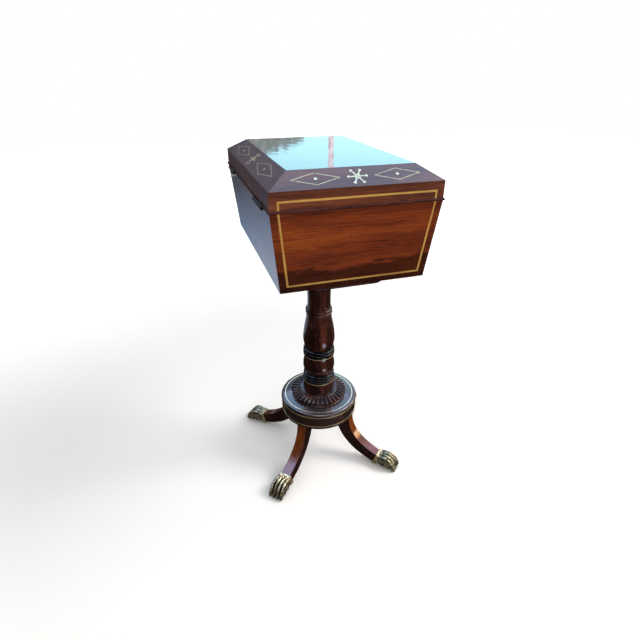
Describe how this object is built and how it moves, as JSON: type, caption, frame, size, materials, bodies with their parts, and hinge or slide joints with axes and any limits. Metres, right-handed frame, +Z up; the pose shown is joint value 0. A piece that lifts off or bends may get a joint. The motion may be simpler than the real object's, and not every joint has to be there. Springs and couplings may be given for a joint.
{
  "type": "teapoy",
  "caption": "Sarcophagus-shaped tea chest with a hinged lid on a turned column, a round platform and splayed sabre legs ending in brass lion-paw castors.",
  "frame": {"origin": "on the floor, on the column's axis, at the bottom centre of the bounding box", "axes": "+Z up; -Y is the front, where the lock is; +Y the hinged back; +X the right-hand end seen from the front"},
  "size_m": [0.4452, 0.3446, 0.76],
  "materials": {
    "rosewood": "french polished",
    "ebonised_wood": "ebonised, polished",
    "brass_line": "inlaid, flush",
    "cast_brass": "aged lacquer",
    "caddy_wood": "waxed",
    "clear_glass": "blown, polished"
  },
  "bodies": {
    "stand": {"box_front": "rosewood", "box_back": "rosewood", "box_left_end": "rosewood", "box_right_end": "rosewood", "box_bottom": "rosewood", "box_bearer": "rosewood", "column_shaft": "rosewood", "column_vase": "rosewood", "column_drum": "rosewood", "gadrooned_collar": "rosewood", "platform": "rosewood", "leg_back_right": "rosewood", "leg_back_left": "rosewood", "leg_front_left": "rosewood", "leg_front_right": "rosewood", "column_upper_ring": "ebonised_wood", "column_lower_ring": "ebonised_wood", "box_stringing": "brass_line", "column_brass_bands": "brass_line", "escutcheon": "brass_line", "paw_back_right": "cast_brass", "paw_back_left": "cast_brass", "paw_front_left": "cast_brass", "paw_front_right": "cast_brass", "hinge_lower_leaves": "cast_brass", "hinge_pins": "cast_brass", "lock_case": "cast_brass", "partitions": "caddy_wood", "well_panel": "caddy_wood", "caddy_left": "caddy_wood", "caddy_right": "caddy_wood"},
    "lid": {"lid_panel": "rosewood", "lid_rail_front": "rosewood", "lid_rail_back": "rosewood", "lid_rail_left_end": "rosewood", "lid_rail_right_end": "rosewood", "lid_bead": "ebonised_wood", "lid_stringing": "brass_line", "lid_inlay": "brass_line", "hinge_upper_leaves": "cast_brass", "link_plate": "cast_brass"},
    "lock_bolt": {"lock_bolt": "cast_brass"},
    "caddy_left_cover": {"caddy_left_lid": "caddy_wood"},
    "caddy_right_cover": {"caddy_right_lid": "caddy_wood"},
    "bowl_back": {"bowl_back": "clear_glass"},
    "bowl_front": {"bowl_front": "clear_glass"},
    "castor_back_right": {"castor_fork_back_right": "cast_brass"},
    "wheel_back_right": {"castor_wheel_back_right": "cast_brass"},
    "castor_back_left": {"castor_fork_back_left": "cast_brass"},
    "wheel_back_left": {"castor_wheel_back_left": "cast_brass"},
    "castor_front_left": {"castor_fork_front_left": "cast_brass"},
    "wheel_front_left": {"castor_wheel_front_left": "cast_brass"},
    "castor_front_right": {"castor_fork_front_right": "cast_brass"},
    "wheel_front_right": {"castor_wheel_front_right": "cast_brass"}
  },
  "joints": [
    {"name": "lid_hinge", "type": "hinge", "parent": "stand", "child": "lid", "pos_m": [0, 0.1552, 0.70225], "axis": [-1, 0, 0], "range_deg": [0, 95]},
    {"name": "lock_bolt_slide", "type": "slide", "parent": "stand", "child": "lock_bolt", "axis": [1, 0, 0], "range_m": [0, 0.004]},
    {"name": "caddy_left_cover_lift", "type": "slide", "parent": "stand", "child": "caddy_left_cover", "axis": [0, 0, 1], "range_m": [0, 0.025]},
    {"name": "caddy_right_cover_lift", "type": "slide", "parent": "stand", "child": "caddy_right_cover", "axis": [0, 0, 1], "range_m": [0, 0.025]},
    {"name": "bowl_back_lift", "type": "slide", "parent": "stand", "child": "bowl_back", "axis": [0, 0, 1], "range_m": [0, 0.04]},
    {"name": "bowl_front_lift", "type": "slide", "parent": "stand", "child": "bowl_front", "axis": [0, 0, 1], "range_m": [0, 0.04]},
    {"name": "castor_back_right_swivel", "type": "hinge", "parent": "stand", "child": "castor_back_right", "pos_m": [0.13859, 0.13859, 0.026], "axis": [0, 0, 1], "continuous": true},
    {"name": "wheel_back_right_roll", "type": "hinge", "parent": "castor_back_right", "child": "wheel_back_right", "pos_m": [0.13435, 0.13435, 0.009], "axis": [-0.7071, 0.7071, 0], "continuous": true},
    {"name": "castor_back_left_swivel", "type": "hinge", "parent": "stand", "child": "castor_back_left", "pos_m": [-0.13859, 0.13859, 0.026], "axis": [0, 0, 1], "continuous": true},
    {"name": "wheel_back_left_roll", "type": "hinge", "parent": "castor_back_left", "child": "wheel_back_left", "pos_m": [-0.13435, 0.13435, 0.009], "axis": [-0.7071, -0.7071, 0], "continuous": true},
    {"name": "castor_front_left_swivel", "type": "hinge", "parent": "stand", "child": "castor_front_left", "pos_m": [-0.13859, -0.13859, 0.026], "axis": [0, 0, 1], "continuous": true},
    {"name": "wheel_front_left_roll", "type": "hinge", "parent": "castor_front_left", "child": "wheel_front_left", "pos_m": [-0.13435, -0.13435, 0.009], "axis": [0.7071, -0.7071, 0], "continuous": true},
    {"name": "castor_front_right_swivel", "type": "hinge", "parent": "stand", "child": "castor_front_right", "pos_m": [0.13859, -0.13859, 0.026], "axis": [0, 0, 1], "continuous": true},
    {"name": "wheel_front_right_roll", "type": "hinge", "parent": "castor_front_right", "child": "wheel_front_right", "pos_m": [0.13435, -0.13435, 0.009], "axis": [0.7071, 0.7071, 0], "continuous": true}
  ]
}
